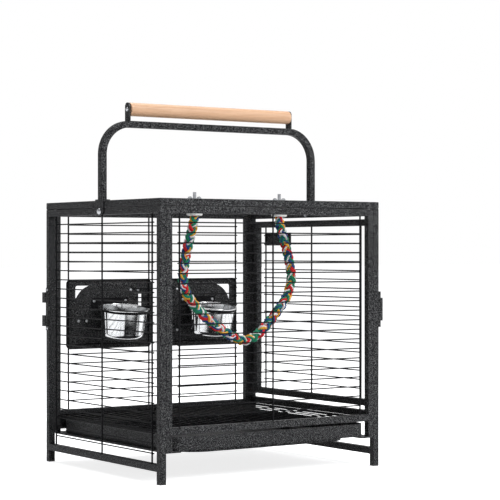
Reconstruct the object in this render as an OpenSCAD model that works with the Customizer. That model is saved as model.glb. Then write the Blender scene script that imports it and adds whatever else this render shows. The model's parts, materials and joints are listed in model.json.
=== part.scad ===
// Bird travel carrier: a square-tube cage with a side door, two swing-out feeders, a tray and a rope perch.
// The floor is z = 0, the front faces -y, and the origin is at the middle of the footprint.

/* [Cage body] */
// Width across the two side frames
body_width = 462; // [400:1:540]
// Depth from the front face to the back face of the frames
body_depth = 400; // [370:1:460]
// Height from the floor to the top of the roof tubes
body_height = 475; // [450:1:540]
// Open slit between the roof frame and the wall frames
roof_gap = 1; // [0.6:0.1:4]
// How far the hardware stands out from each side face
side_reach = 9; // [8:0.5:14]
// How far the feeder knobs stand out from the back face
back_reach = 8; // [7.5:0.5:14]

/* [Tube] */
// Outside width of the square tube
tube = 12; // [11:0.5:14]
// Wall of the square tube
tube_wall = 1; // [0.8:0.1:1.6]
// Outside corner radius of the square tube
tube_corner = 1; // [0.6:0.1:1.5]
// Diameter of the drain holes in the closed frames
drain_d = 3; // [2:0.5:4]
// Thickness of the plug's flange under each leg
plug_flange = 2.5; // [1.5:0.5:5]
// Length of the plug's stem inside the leg
plug_stem = 14; // [8:1:20]

/* [Rails] */
// Height of the underside of the low rails of the side frames
side_rail_lift = 21; // [15:0.5:30]
// Height of the underside of the right side's middle rail
middle_rail_lift = 86.5; // [82:0.5:95]
// Height of the underside of the low rails of the front and back frames
front_rail_lift = 81.5; // [80:0.5:90]
// Height of the lower ends of the front and back posts
front_post_lift = 54; // [50:0.5:56]

/* [Wires] */
// Diameter of the upright carrying wires
upright_d = 3; // [2.5:0.1:4]
// Diameter of the level wires
level_d = 2.2; // [1.8:0.1:3]
// Depth that crossing wires are welded into each other
weld_sink = 0.3; // [0.2:0.05:0.5]
// Distance from a frame's outer face to the middle of its upright wires
wire_inset = 4; // [3.5:0.1:5]
// Length of level wire past the outer uprights
wire_overhang = 2; // [1.5:0.5:5]
// Least gap between the last wire and the next rail
wire_end_clear = 6; // [4:0.5:10]
// Gap from the side frame's low rail to its first level wire
side_wire_first = 16.4; // [12:0.1:20]
// Pitch of the side's level wires
side_wire_pitch = 16.77; // [14:0.01:20]
// Distance of the side's outer uprights from the posts
side_upright_gap = 20; // [14:0.5:40]
// Gap from the front and back low rails to their first level wire
front_wire_first = 16.5; // [12:0.1:20]
// Pitch of the front and back level wires
front_wire_pitch = 17.1; // [14:0.05:20]
// Distance of the front's outer uprights from the posts
front_upright_gap = 16; // [12:0.5:30]
// Gap from the door's low rail to its first level wire
door_wire_first = 18; // [12:0.1:20]
// Pitch of the door's level wires
door_wire_pitch = 16.5; // [14:0.1:20]
// Distance from the roof's top to the middle of its cross wires
roof_wire_drop = 4.5; // [4:0.1:7]
// Pitch of the roof wires
roof_wire_pitch = 16.5; // [14:0.1:20]
// Distance of the roof's outer cross wires from the roof tubes
roof_cross_gap = 18; // [14:1:40]
// Distance of the back's outer uprights inside the surrounds' outer edges
back_upright_lap = 3.5; // [1.5:0.5:5]
// Gap between the back's level wires and the feeder windows
window_wire_gap = 0.5; // [0.3:0.1:3]

/* [Side door] */
// Slit above the door
door_top_slit = 5.5; // [3:0.5:8]
// Slit under the door
door_low_slit = 8; // [4:0.5:12]
// Gap between the door and the front post
door_front_gap = 3; // [2:0.5:5]
// Gap between the door and the rear post, where the hinges are
door_rear_gap = 8; // [7.5:0.5:12]
// Radius of the hinge knuckles
door_knuckle_r = 3.6; // [3:0.1:4]
// Radius of the hinge pins
door_pin_r = 2; // [1.5:0.1:2.2]
// Length of each door hinge
door_hinge_len = 42; // [30:1:60]
// Distance of each door hinge from the door's end
door_hinge_inset = 48; // [30:1:80]
// Thickness of the hinge leaves
door_leaf_t = 1.2; // [1:0.1:2]
// Width of a hinge leaf from the pin's axis
door_leaf_w = 14; // [12:0.5:15]

/* [Side latch] */
// Height of the middle of the latch
latch_z = 282; // [240:1:320]
// Height of the latch base
latch_base_h = 64; // [52:1:80]
// Thickness of the latch base
latch_base_t = 4.4; // [3:0.1:5.5]
// Height of the raised latch housing
latch_house_h = 41; // [34:1:44]
// Height of the sliding bar
latch_bar_h = 29; // [20:1:30]
// Thickness of the sliding bar
latch_bar_t = 4; // [3:0.1:4.5]
// Travel of the sliding bar into its keeper
latch_travel = 10; // [6:0.5:10.5]
// Thickness of the keeper's end wall
latch_end_wall = 1.2; // [1:0.1:1.3]
// Length of the bar behind its guide when it is drawn back, less its travel
latch_tab_reach = 7; // [6:0.5:10]
// Thickness of the bar's thumb tab
latch_tab_t = 5; // [3:0.5:6]
// Radius of the latch screws' heads
latch_screw_r = 3; // [2.6:0.1:3.5]
// Height of the latch screws' heads
latch_screw_h = 1.6; // [1.2:0.1:2]

/* [Blank plate] */
// Length of the plate on the door's wires
plate_len = 87; // [60:1:120]
// Height of the plate
plate_h = 25; // [15:1:32]
// Thickness of the plate
plate_t = 1; // [0.8:0.1:2]
// Distance from the door's rear stile to the plate
plate_rear_gap = 14; // [10:1:40]
// Distance from the door's top rail to the plate
plate_top_gap = 10; // [4:0.5:20]

/* [Feeders] */
// Gap between the surrounds and the back posts
feeder_post_gap = 16.5; // [14:0.5:24]
// Height of each feeder's surround
feeder_h = 130; // [126:1:140]
// Distance between the two surrounds
feeder_between = 13; // [11:1:20]
// Height of the underside of the surrounds
feeder_lift = 204; // [190:1:214]
// Corner radius of the surrounds
feeder_corner = 9; // [5:0.5:11]
// Thickness of the sheet
sheet = 1.2; // [1:0.1:1.6]
// Border above and below each feeder's door
feeder_border = 12; // [10:0.5:14]
// Border on the outer side of each feeder's door
feeder_outer_border = 18.5; // [16:0.5:20]
// Border on the hinge side of each feeder's door
feeder_hinge_border = 37.5; // [34:0.5:38]
// Gap around each feeder's door
feeder_door_gap = 0.8; // [0.6:0.1:1.2]
// How far the stop behind the window's edge reaches over the door
stop_lap = 3; // [2:0.5:4]
// Width of the stop on the surround
stop_land = 4; // [3:0.5:6]
// Radius of the door's cut-away upper corner, a finger opening
finger_r = 45; // [36:1:48]
// Radius of the small corners of doors and windows
small_corner = 4; // [2:0.5:6]
// Radius of the feeder hinge knuckles
feeder_knuckle_r = 2.4; // [2.2:0.1:3]
// Radius of the feeder hinge pins
feeder_pin_r = 1.2; // [0.8:0.1:1.4]
// Height of the hinge pins' round heads
pin_head_h = 1; // [0.8:0.1:1.2]
// Length of the feeder hinges
feeder_hinge_len = 15; // [12:0.5:20]
// Distance of the lower hinge from the window's lower edge
low_hinge_rise = 11; // [6:0.5:20]
// Distance of the upper hinge from the window's upper edge
high_hinge_drop = 1.5; // [1:0.5:8]
// Width of the slot between the two hinges
slot_w = 7; // [5:0.5:8]
// Distance of the slot from the hinge's axis
slot_gap = 8.5; // [8:0.5:10]
// Width of a feeder hinge leaf from its pin
feeder_leaf_w = 13; // [12:0.5:16]
// Thickness of the feeder hinge leaves
feeder_leaf_t = 1; // [0.8:0.1:1.4]
// Distance of the hinge rivets from the pin's axis
hinge_rivet_x = 8; // [7.5:0.5:9]
// Distance of the feeders' other rivets from their plates' edges
rivet_edge = 6; // [5:0.5:7]
// Radius of the rivets' shanks
rivet_r = 1.5; // [1:0.1:2]
// Radius of the rivets' heads
rivet_head_r = 2.8; // [2.2:0.1:3]
// Height of the rivets' heads
rivet_head_h = 1.1; // [0.8:0.1:1.3]

/* [Feeder bolts] */
// Radius of the sliding bolt
bolt_r = 2; // [1.6:0.1:2.2]
// Travel of the sliding bolt
bolt_travel = 12; // [8:0.5:12.5]
// Outside radius of the bolt's rings
bolt_ring_r = 3.6; // [3.2:0.1:3.8]
// Length of each ring
bolt_ring_len = 5; // [4:0.5:5.5]
// Length of the bolt's guide plate
guide_len = 29; // [28.5:0.5:32]
// Height of the bolt's guide plate
guide_h = 26; // [24:1:30]
// Distance of the guide plate's lower edge under the feeder's middle
guide_drop = 19; // [14:1:24]
// Distance of the guide plate from the door's outer edge
guide_edge = 4; // [3.5:0.5:6]
// Distance of the bolt's rings from the guide plate's upper edge
bolt_top_gap = 2; // [1:0.5:4]
// Depth that the bolt's rings are sunk in their plates
ring_sink = 0.6; // [0.3:0.1:0.8]
// Thickness of the guide and keeper plates
guide_t = 1; // [0.8:0.1:1.4]
// Length of the keeper
keeper_len = 11; // [8:0.5:13]
// Radius of the bolt's knob
knob_r = 3.5; // [3:0.1:4]
// Thickness of the bolt's knob
knob_t = 1.6; // [1.2:0.1:2]
// Diameter of the knob's stem
knob_stem_d = 3; // [2.4:0.1:3.4]
// Distance of the stem from the bolt's inner ring
stem_gap = 2.2; // [2:0.1:3]
// Distance of the knob's middle from its stem
knob_offset = 1.1; // [0.8:0.1:1.4]

/* [Cups] */
// How much narrower the cups are than their windows
cup_window_play = 33; // [32:1:44]
// Distance of the cup's middle from the window's middle, towards the hinge
cup_shift = 9.8; // [6:0.1:12]
// Forward lean of the cups and their rings, in degrees
cup_tilt = 8; // [0:0.5:10]
// Height of the cup
cup_h = 55; // [40:1:58]
// Radius of the rolled rim's section
cup_roll_r = 2; // [1.5:0.1:2.5]
// Wall of the cup
cup_wall = 1; // [0.8:0.1:1.5]
// How much narrower the cup's base is, per side
cup_draft = 5; // [2:0.5:10]
// Radius between the cup's wall and base
cup_base_r = 9; // [5:0.5:14]
// Height of the cup's rim above the feeder's underside
cup_rim_rise = 78.5; // [76:0.5:84]
// Gap between the cup's rim and the door's inner face
cup_door_gap = 5.5; // [5:0.5:8]
// Diameter of the cup ring's wire
ring_wire_d = 3; // [2:0.1:4]
// Diameter of the cup ring's two arms
ring_arm_d = 2.4; // [1.6:0.1:2.8]
// Spacing of the cup ring's two arms
ring_arm_spacing = 46; // [30:1:60]
// Length of the ring's mounting strip
ring_strip_len = 80; // [74:1:90]
// Height of the ring's mounting strip
ring_strip_h = 20; // [16:1:22]
// Thickness of the ring's mounting strip
ring_strip_t = 1.5; // [1:0.1:2]
// Height of the strip's middle above the ends of the ring's arms
strip_rise = 5; // [3:0.5:6]
// Radius of the corners of the strip and of the bolt's plates
plate_corner = 2.5; // [1.5:0.5:4]

/* [Tray and grate] */
// Height of the tray's outer skirt
tray_skirt_h = 23; // [18:0.5:24]
// Depth of the pan below the skirt
tray_pan_drop = 6; // [4:0.5:10]
// Width of the ledge between the skirt and the pan at the sides and the rear
tray_ledge = 28; // [24:1:36]
// Width of the ledge between the skirt and the pan at the front
tray_front_ledge = 8; // [5:0.5:20]
// Wall of the tray
tray_wall = 1.6; // [1.2:0.1:2.5]
// Plan radius of the tray's corners
tray_corner = 25; // [20:1:32]
// Plan radius of the pan's corners
pan_corner = 50; // [30:1:60]
// Gap between the tray and the front and back posts
tray_side_gap = 1.5; // [1:0.5:3]
// Distance of the tray behind the front face
tray_front_gap = 2; // [0:0.5:5]
// Distance of the tray's rear wall from the back face
tray_rear_gap = 10; // [9:0.5:14]
// Travel of the tray to the front
tray_travel = 370; // [300:5:370]
// Width of the tray's runners
runner_w = 29; // [24:1:34]
// Thickness of the tray's runners
runner_t = 2.5; // [2:0.1:4]
// Thickness of the tray's stop strip
stop_t = 2; // [1.5:0.1:3]
// Height of the tray's stop strip
stop_h = 23; // [15:1:24]
// Width of the ledges that carry the floor grate
grate_ledge_w = 10; // [6:0.5:14]
// Thickness of the ledges that carry the floor grate
grate_ledge_t = 1.5; // [1:0.1:2]
// Gap between the tray's rear wall and the stop strip
stop_gap = 2; // [1:0.5:4]
// Diameter of the grate's border wire
grate_border_d = 4; // [3:0.1:4.5]
// Distance of the grate's two long ribs from its middle
grate_rib_x = 89; // [70:1:110]
// Pitch of the grate's wires
grate_pitch = 14.5; // [12:0.5:20]
// Gap around the grate
grate_gap = 1.5; // [1:0.5:4]
// Lift of the grate until it clears the middle rail
grate_lift = 18; // [15:1:40]

/* [Handle] */
// Height of the handle's tube above the roof
handle_h = 141.5; // [120:0.5:160]
// Radius of the handle's bends at the tube's middle
handle_bend_r = 54; // [40:1:60]
// How far the handle stands out past the side faces
handle_out = 1.6; // [0.5:0.1:2]
// Thickness of the handle's foot brackets
foot_t = 2; // [1.5:0.1:2]
// Width of the foot brackets along the side
foot_w = 28; // [24:1:34]
// Depth of the foot brackets' upright leg below the roof's top
foot_drop = 25; // [23:0.5:25.5]
// Radius of the round corners of the foot brackets
foot_corner = 5; // [2:0.5:8]
// Radius of the handle bolts
handle_bolt_r = 3; // [2.5:0.1:3.5]
// Radius of the handle bolts' round heads
handle_head_r = 5.5; // [4.5:0.1:5.8]
// Height of the handle bolts' round heads
handle_head_h = 4; // [3:0.1:5]
// Height of the handle bolts' nuts
handle_nut_h = 5; // [3:0.5:7]
// Radius of the handle bolts' nuts across their corners
handle_nut_r = 5.4; // [5:0.1:5.8]

/* [Grip] */
// Distance between the middles of the two ears
ear_spacing = 350; // [300:1:352]
// Thickness of the ears
ear_t = 3; // [2:0.1:4]
// Width of the ears
ear_w = 15; // [13:0.5:20]
// Diameter of the wooden grip
grip_d = 24; // [18:0.5:26]
// Height of the grip's axis above the handle's tube
grip_rise = 20.5; // [18:0.5:34]
// Height of the ears above the grip's axis
ear_above = 12; // [9:0.5:16]
// Radius of the rounded edge at the grip's ends
grip_edge_r = 1.5; // [0.5:0.1:3]
// Radius of the grip screws' shanks
grip_screw_r = 2; // [1.5:0.1:3]
// Length of the grip screws' shanks
grip_screw_len = 28; // [16:1:40]
// Radius of the grip screws' heads
grip_head_r = 4; // [3.4:0.1:5]
// Height of the grip screws' heads
grip_head_h = 2.4; // [1.8:0.1:3]

/* [Rope perch] */
// Diameter of the rope
rope_d = 15; // [12:0.5:16]
// Distance of the perch behind the front face
perch_back = 113; // [90:1:140]
// Distance between the perch's two bolts
perch_spacing = 182; // [170:1:200]
// Diameter of the perch's end caps
cap_d = 28; // [24:0.5:34]
// Height of the perch's end caps
cap_h = 18.5; // [16:0.5:22]
// Depth of the rope's socket in a cap
cap_socket = 11; // [8:0.5:13]
// Radius of the rounded lower edge of a cap
cap_edge_r = 3; // [1:0.5:4]
// Radial gap between the rope and its socket
rope_gap = 0.3; // [0.2:0.05:0.6]
// Radius of the perch bolts
perch_bolt_r = 3; // [2.5:0.1:3.5]
// Height of the perch bolts' heads
perch_head_h = 4; // [3:0.5:6]
// Height of the perch bolts' tips above the roof's top
perch_bolt_tip = 15; // [12:0.5:20]
// Diameter of the washers
washer_d = 24; // [20:0.5:30]
// Thickness of the washers
washer_t = 1.2; // [1:0.1:2]
// Radius of the wing nuts' hubs
wing_hub_r = 5; // [4.2:0.1:7]
// Height of the wing nuts' hubs
wing_hub_h = 7; // [5:0.5:9]
// Span of the wings
wing_span = 27; // [22:0.5:34]
// Height of the wings
wing_h = 12; // [9:0.5:14]
// Thickness of the wings
wing_t = 2.4; // [1.6:0.1:3]
// Radius of the wings' round tips
wing_tip_r = 4.2; // [3:0.1:5]

/* [Rear bracket and screws] */
// Height of the middle of the rear bracket
hook_z = 280; // [240:1:320]
// Height of the rear bracket over its two arms
hook_h = 62; // [50:1:76]
// Thickness of the rear bracket's strip
hook_t = 3; // [2:0.1:4]
// Width of the rear bracket's strip
hook_w = 10; // [8:0.5:12]
// Length of the upper arm's turned tip
hook_upper_tip = 16; // [10:0.5:20]
// Length of the lower arm's turned tip
hook_lower_tip = 17; // [10:0.5:20]
// Height of the bracket's riveted ears past its arms
hook_ear = 8; // [7:0.5:12]
// Thickness of the bracket's back plate
hook_plate_t = 1.5; // [1:0.1:2]
// Height of the screws that join the frames
screw_z = 72; // [68:1:76]
// Radius of the joining screws' shanks
screw_r = 2; // [1.5:0.1:2.5]
// Radius of the joining screws' heads
screw_head_r = 4; // [3:0.1:5]
// Height of the joining screws' heads
screw_head_h = 1.6; // [1.2:0.1:3]
// Radial clearance of pins and bolts that turn or slide
turn_gap = 0.08; // [0.04:0.01:0.1]
// Gap between faces that move past each other
face_gap = 0.3; // [0.2:0.05:0.5]

/* [Hidden] */

// Finish colours
coat = "#25282b";
zinc = "#b9bdc2";
polished = "#d5d8dc";

// Places that follow from the sizes
y_front = -(body_depth + back_reach) / 2;
y_back = y_front + body_depth;
y_mid = (y_front + y_back) / 2;
half_w = body_width / 2;
bore = tube - 2 * tube_wall;
wall_top = body_height - tube - roof_gap;
top_rail_z = wall_top - tube / 2;
side_low_z = side_rail_lift + tube / 2;
middle_rail_z = middle_rail_lift + tube / 2;
front_low_z = front_rail_lift + tube / 2;
front_w = body_width - 2 * tube;
front_inner = front_w / 2 - tube;
level_layer = (upright_d + level_d) / 2 - weld_sink;
roof_z = body_height - tube / 2;

// Side door places, measured from the middle of the depth
door_z0 = middle_rail_lift + tube + door_low_slit;
door_z1 = wall_top - tube - door_top_slit;
door_y0 = -body_depth / 2 + tube + door_front_gap;
door_y1 = body_depth / 2 - tube - door_rear_gap;
door_w = door_y1 - door_y0;
door_mid = (door_y0 + door_y1) / 2;
door_axis_x = half_w + door_knuckle_r;
door_axis_y = y_mid + door_y1 + door_rear_gap / 2;
door_hinge_z = [door_z0 + door_hinge_inset, door_z1 - door_hinge_inset - door_hinge_len];
latch_bar_x = half_w + (side_reach - latch_bar_t) / 2;

// Feeder places for the right-hand feeder
feeder_x0 = feeder_between / 2;
feeder_x1 = front_inner - feeder_post_gap;
feeder_z1 = feeder_lift + feeder_h;
window_x0 = feeder_x0 + feeder_hinge_border;
window_x1 = feeder_x1 - feeder_outer_border;
window_z0 = feeder_lift + feeder_border;
window_z1 = feeder_z1 - feeder_border;
sheet_y0 = y_back - wire_inset + upright_d / 2;
sheet_y1 = sheet_y0 + sheet;
feeder_axis_y = sheet_y1 + feeder_knuckle_r;
hinge_z = [window_z0 + low_hinge_rise, window_z1 - high_hinge_drop - feeder_hinge_len];
door_x0 = window_x0 + feeder_door_gap;
door_x1 = window_x1 + stop_lap - feeder_door_gap;
plate_z0 = window_z0 - stop_lap + feeder_door_gap;
plate_z1 = window_z1 + stop_lap - feeder_door_gap;
bolt_y = sheet_y1 + guide_t + bolt_ring_r - ring_sink;
guide_x1 = door_x1 - guide_edge;
guide_x0 = guide_x1 - guide_len;
guide_z0 = feeder_lift + feeder_h / 2 - guide_drop;
bolt_z = guide_z0 + guide_h - bolt_ring_r - bolt_top_gap;
cup_rim_d = window_x1 - window_x0 - cup_window_play;
cup_x = (window_x0 + window_x1) / 2 - cup_shift;
cup_y = sheet_y0 - cup_rim_d / 2 - cup_door_gap;
cup_rim_z = feeder_lift + cup_rim_rise;
cup_body_r = cup_rim_d / 2 - 2 * cup_roll_r + cup_wall;
ring_r = cup_body_r + face_gap + ring_wire_d / 2;
ring_drop = 2 * cup_roll_r + face_gap + ring_wire_d / 2;
arm_y1 = (sheet_y0 - ring_strip_t / 2 - cup_y - ring_drop * sin(cup_tilt)) / cos(cup_tilt);
arm_end_z = cup_rim_z + arm_y1 * sin(cup_tilt) - ring_drop * cos(cup_tilt);

// Tray and grate places
runner_z0 = front_post_lift - runner_t;
tray_z0 = front_post_lift + face_gap;
tray_y0 = y_front + tray_front_gap;
tray_y1 = y_back - tray_rear_gap;
tray_half = front_inner - tray_side_gap;
ledge_z = front_rail_lift;
grate_z = ledge_z + grate_ledge_t + grate_border_d / 2;
grate_half = half_w - tube - grate_gap - grate_border_d / 2;
grate_y0 = y_front + tube + grate_gap + grate_border_d / 2;
grate_y1 = y_back - tube - grate_gap - grate_border_d / 2;

// Handle and grip places
handle_leg_x = half_w + handle_out - tube / 2;
handle_bar_z = body_height + handle_h - tube / 2;
handle_top = body_height + handle_h;
grip_z = handle_top + grip_rise;
grip_len = ear_spacing - ear_t;

// Perch places
perch_y = y_front + perch_back;
perch_x = perch_spacing / 2;
roof_upright_z = body_height - roof_wire_drop;
roof_wire_z = roof_upright_z - level_layer;
cap_top = roof_wire_z - level_d / 2;
cap_bottom = cap_top - cap_h;
socket_top = cap_bottom + cap_socket;
rope_top = socket_top - perch_head_h;
washer_z = roof_wire_z + level_d / 2;

// Route of the rope perch as [share of half the bolts' spacing, depth below the rope's top]
rope_points = [
    [-1, 0], [-1, 9.6], [-1.077, 37.6], [-1.165, 64.6], [-1.231, 91.6], [-1.264, 117.6], [-1.198, 140.6],
    [-1.011, 162.6], [-0.758, 184.6], [-0.462, 203.6], [-0.143, 219.6], [0.165, 228.6], [0.473, 218.6],
    [0.758, 196.6], [1.011, 171.6], [1.209, 147.6], [1.297, 120.6], [1.275, 99.6], [1.209, 73.6],
    [1.11, 46.6], [1.022, 21.6], [1, 9.6], [1, 0]
];
rope_route = [for (p = rope_points) [p[0] * perch_x, rope_top - p[1]]];
rope_sides = 12;

// Tube, bar and wire shapes

// Outline of the square tube with its small corner arcs
module tube_outline() {
    flat = tube - 2 * tube_corner;
    square([tube, flat], center = true);
    square([flat, tube], center = true);
    for (x = [-1, 1], y = [-1, 1])
        translate([x * flat / 2, y * flat / 2]) circle(r = tube_corner, $fn = 32);
}

module bar_x(x0, x1, y, z) {
    translate([x0, y, z]) rotate([90, 0, 90]) linear_extrude(x1 - x0) tube_outline();
}

module bar_y(y0, y1, x, z) {
    translate([x, y0, z]) rotate([-90, 0, 0]) linear_extrude(y1 - y0) tube_outline();
}

module bar_z(z0, z1, x, y) {
    translate([x, y, z0]) linear_extrude(z1 - z0) tube_outline();
}

module wire_x(x0, x1, y, z, d) {
    translate([x0, y, z]) rotate([0, 90, 0]) cylinder(h = x1 - x0, d = d, $fn = 24);
}

module wire_y(y0, y1, x, z, d) {
    translate([x, y0, z]) rotate([-90, 0, 0]) cylinder(h = y1 - y0, d = d, $fn = 24);
}

module wire_z(z0, z1, x, y, d) {
    translate([x, y, z0]) cylinder(h = z1 - z0, d = d, $fn = 24);
}

// Flat frame of two posts and their rails, centred on x and y, hollow all round
module tube_frame(width, z0, z1, rails, open_feet = true) {
    post_x = (width - tube) / 2;
    foot = open_feet ? z0 - 1 : z0 + tube_wall;
    difference() {
        union() {
            for (side = [-1, 1]) bar_z(z0, z1, side * post_x, 0);
            for (z = rails) bar_x(-post_x, post_x, 0, z);
        }
        for (side = [-1, 1])
            translate([side * post_x - bore / 2, -bore / 2, foot]) cube([bore, bore, z1 - tube_wall - foot]);
        for (z = rails)
            translate([-post_x, -bore / 2, z - bore / 2]) cube([2 * post_x, bore, bore]);
    }
}

// Heights of the level wires between two rails
function wire_levels(z0, z1, first, pitch) =
    let (count = floor((z1 - z0 - first - wire_end_clear) / pitch) + 1)
    [for (k = [0 : count - 1]) z0 + first + k * pitch];

// Flat grille with its outside towards -y: uprights from z0 to z1 and level wires behind them
module grille(uprights, z0, z1, levels) {
    for (x = uprights) wire_z(z0, z1, x, 0, upright_d);
    last = uprights[len(uprights) - 1];
    for (z = levels) wire_x(uprights[0] - wire_overhang, last + wire_overhang, level_layer, z, level_d);
}

// Plate outline with round corners, from one corner to the other
module round_plate(x0, z0, x1, z1, r) {
    translate([x0 + r, z0]) square([x1 - x0 - 2 * r, z1 - z0]);
    translate([x0, z0 + r]) square([x1 - x0, z1 - z0 - 2 * r]);
    for (x = [x0 + r, x1 - r], z = [z0 + r, z1 - r])
        translate([x, z]) circle(r = r, $fn = 48);
}

// Upright sheet from y0 to y1 with an outline drawn in x and z
module upright_sheet(y0, y1) {
    translate([0, y1, 0]) rotate([90, 0, 0]) linear_extrude(y1 - y0) children();
}

// Domed head that stands on z = 0
module dome(r, h) {
    ball = (r * r + h * h) / (2 * h);
    intersection() {
        translate([0, 0, h - ball]) sphere(r = ball, $fn = 64);
        cylinder(r = r, h = h, $fn = 48);
    }
}

// Child on the right, or its mirror image on the left
module on_side(side) {
    if (side < 0)
        mirror([1, 0, 0]) children();
    else
        children();
}

// Frames and grilles

// Holes for the screws that join a side frame to the front and back frames
module frame_screw_holes(side) {
    for (y = [y_front + tube / 2, y_back - tube / 2])
        on_side(side) wire_x(half_w - 2 * tube + tube_wall, half_w + 1, y, screw_z, 2 * screw_r);
}

module side_frame(side, rails) {
    difference() {
        translate([side * (half_w - tube / 2), y_mid, 0]) rotate([0, 0, 90])
            tube_frame(body_depth, plug_flange, wall_top, rails);
        frame_screw_holes(side);
        on_side(side) wire_x(half_w - tube - 1, half_w + 1, y_mid, top_rail_z, 2 * handle_bolt_r);
    }
}

module left_side_frame() {
    color(coat) side_frame(-1, [side_low_z, top_rail_z]);
}

module right_side_frame() {
    color(coat) side_frame(1, [side_low_z, middle_rail_z, top_rail_z]);
}

module left_side_grille() {
    reach = body_depth / 2 - tube - side_upright_gap;
    z0 = side_rail_lift + tube;
    z1 = wall_top - tube;
    color(coat) translate([-half_w + wire_inset, y_mid, 0]) rotate([0, 0, -90])
        grille([-reach, 0, reach], z0, z1, wire_levels(z0, z1, side_wire_first, side_wire_pitch));
}

module front_frame() {
    y = y_front + tube / 2;
    color(coat) difference() {
        union() {
            translate([0, y, 0]) tube_frame(front_w, front_post_lift, wall_top, [front_low_z, top_rail_z]);
            translate([-front_inner, y_front + tube - tube_wall, ledge_z])
                cube([2 * front_inner, grate_ledge_w + tube_wall, grate_ledge_t]);
        }
        for (side = [-1, 1]) frame_screw_holes(side);
    }
}

module back_frame() {
    y = y_back - tube / 2;
    color(coat) difference() {
        union() {
            translate([0, y, 0]) tube_frame(front_w, front_post_lift, wall_top, [front_low_z, top_rail_z]);
            translate([-front_inner, y_back - tube - grate_ledge_w, ledge_z])
                cube([2 * front_inner, grate_ledge_w + tube_wall, grate_ledge_t]);
        }
        for (side = [-1, 1]) frame_screw_holes(side);
    }
}

module front_grille() {
    reach = front_inner - front_upright_gap;
    z0 = front_rail_lift + tube;
    z1 = wall_top - tube;
    levels = wire_levels(z0, z1, front_wire_first, front_wire_pitch);
    top_level = levels[len(levels) - 1];
    color(coat) translate([0, y_front + wire_inset, 0]) {
        grille([-reach, 0, reach], z0, z1, levels);
        wire_x(-front_inner, front_inner, level_layer, top_level, level_d);
    }
}

// The back's level wires leave the two feeder windows free
module back_grille() {
    left = back_upright_lap - feeder_x1;
    right = feeder_x1 - back_upright_lap;
    z0 = front_rail_lift + tube;
    z1 = wall_top - tube;
    levels = wire_levels(z0, z1, front_wire_first, front_wire_pitch);
    y = y_back - wire_inset - level_layer;
    color(coat) {
        for (x = [left, -feeder_between, right])
            wire_z(z0, z1, x, y_back - wire_inset, upright_d);
        for (z = levels) {
            if (z > window_z0 - level_d && z < window_z1 + level_d) {
                wire_x(left - wire_overhang, -window_x1 - window_wire_gap, y, z, level_d);
                wire_x(window_wire_gap - window_x0, window_x0 - window_wire_gap, y, z, level_d);
                wire_x(window_x1 + window_wire_gap, right + wire_overhang, y, z, level_d);
            } else
                wire_x(left - wire_overhang, right + wire_overhang, y, z, level_d);
        }
    }
}

module tray_stop() {
    color(coat) translate([-front_inner, y_back - tray_rear_gap + stop_gap, front_rail_lift - stop_h])
        cube([2 * front_inner, stop_t, stop_h]);
}

module roof_frame() {
    x = half_w - tube / 2;
    y = body_depth / 2 - tube / 2;
    color(coat) translate([0, y_mid, 0]) difference() {
        union() {
            for (side = [-1, 1]) {
                bar_y(-body_depth / 2 + tube_corner, body_depth / 2 - tube_corner, side * x, roof_z);
                bar_x(-half_w + tube_corner, half_w - tube_corner, side * y, roof_z);
                for (end = [-1, 1])
                    translate([side * (half_w - tube_corner), end * (body_depth / 2 - tube_corner), 0])
                        translate([0, 0, body_height - tube + tube_corner])
                            cylinder(r = tube_corner, h = tube - 2 * tube_corner, $fn = 32);
            }
        }
        for (side = [-1, 1]) {
            translate([side * x - bore / 2, -y - bore / 2, roof_z - bore / 2])
                cube([bore, 2 * y + bore, bore]);
            translate([-x - bore / 2, side * y - bore / 2, roof_z - bore / 2])
                cube([2 * x + bore, bore, bore]);
            translate([side * x, 0, body_height - tube - 1])
                cylinder(d = drain_d, h = tube_wall + 2, $fn = 24);
        }
    }
}

// Thin wires run from front to back under three cross wires
module roof_grille() {
    reach = floor((half_w - tube - wire_end_clear) / roof_wire_pitch);
    cross = body_depth / 2 - tube - roof_cross_gap;
    color(coat) translate([0, y_mid, 0]) {
        for (y = [-cross, 0, cross])
            wire_x(-half_w + tube, half_w - tube, y, roof_upright_z, upright_d);
        for (k = [-reach : reach])
            wire_y(-cross - wire_overhang, cross + wire_overhang, k * roof_wire_pitch, roof_wire_z, level_d);
    }
}

module roof_pads() {
    pad = tube - 2 * tube_corner;
    color(coat) for (x = [-1, 1], y = [-1, 1])
        translate([x * (half_w - tube / 2), y_mid + y * (body_depth - tube) / 2, wall_top])
            translate([-pad / 2, -pad / 2, 0]) cube([pad, pad, roof_gap]);
}

module leg_plugs() {
    stem = bore - 0.2;
    color("#141516") for (x = [-1, 1], y = [-1, 1])
        translate([x * (half_w - tube / 2), y_mid + y * (body_depth - tube) / 2, 0]) {
            linear_extrude(plug_flange) tube_outline();
            translate([-stem / 2, -stem / 2, plug_flange - 0.5]) cube([stem, stem, plug_stem]);
        }
}

module frame_screws() {
    color(coat) for (side = [-1, 1], y = [y_front + tube / 2, y_back - tube / 2])
        on_side(side) translate([half_w, y, screw_z]) rotate([0, 90, 0]) {
            dome(screw_head_r, screw_head_h);
            translate([0, 0, tube_wall - 2 * tube]) cylinder(r = screw_r, h = 2 * tube, $fn = 32);
        }
}

// Side door

module door_frame() {
    color(coat) difference() {
        translate([half_w - tube / 2, y_mid + door_mid, 0]) rotate([0, 0, 90])
            tube_frame(door_w, door_z0, door_z1, [door_z0 + tube / 2, door_z1 - tube / 2], false);
        translate([half_w - tube / 2, y_mid, door_z0 - 1]) cylinder(d = drain_d, h = tube_wall + 2, $fn = 24);
    }
}

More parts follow.
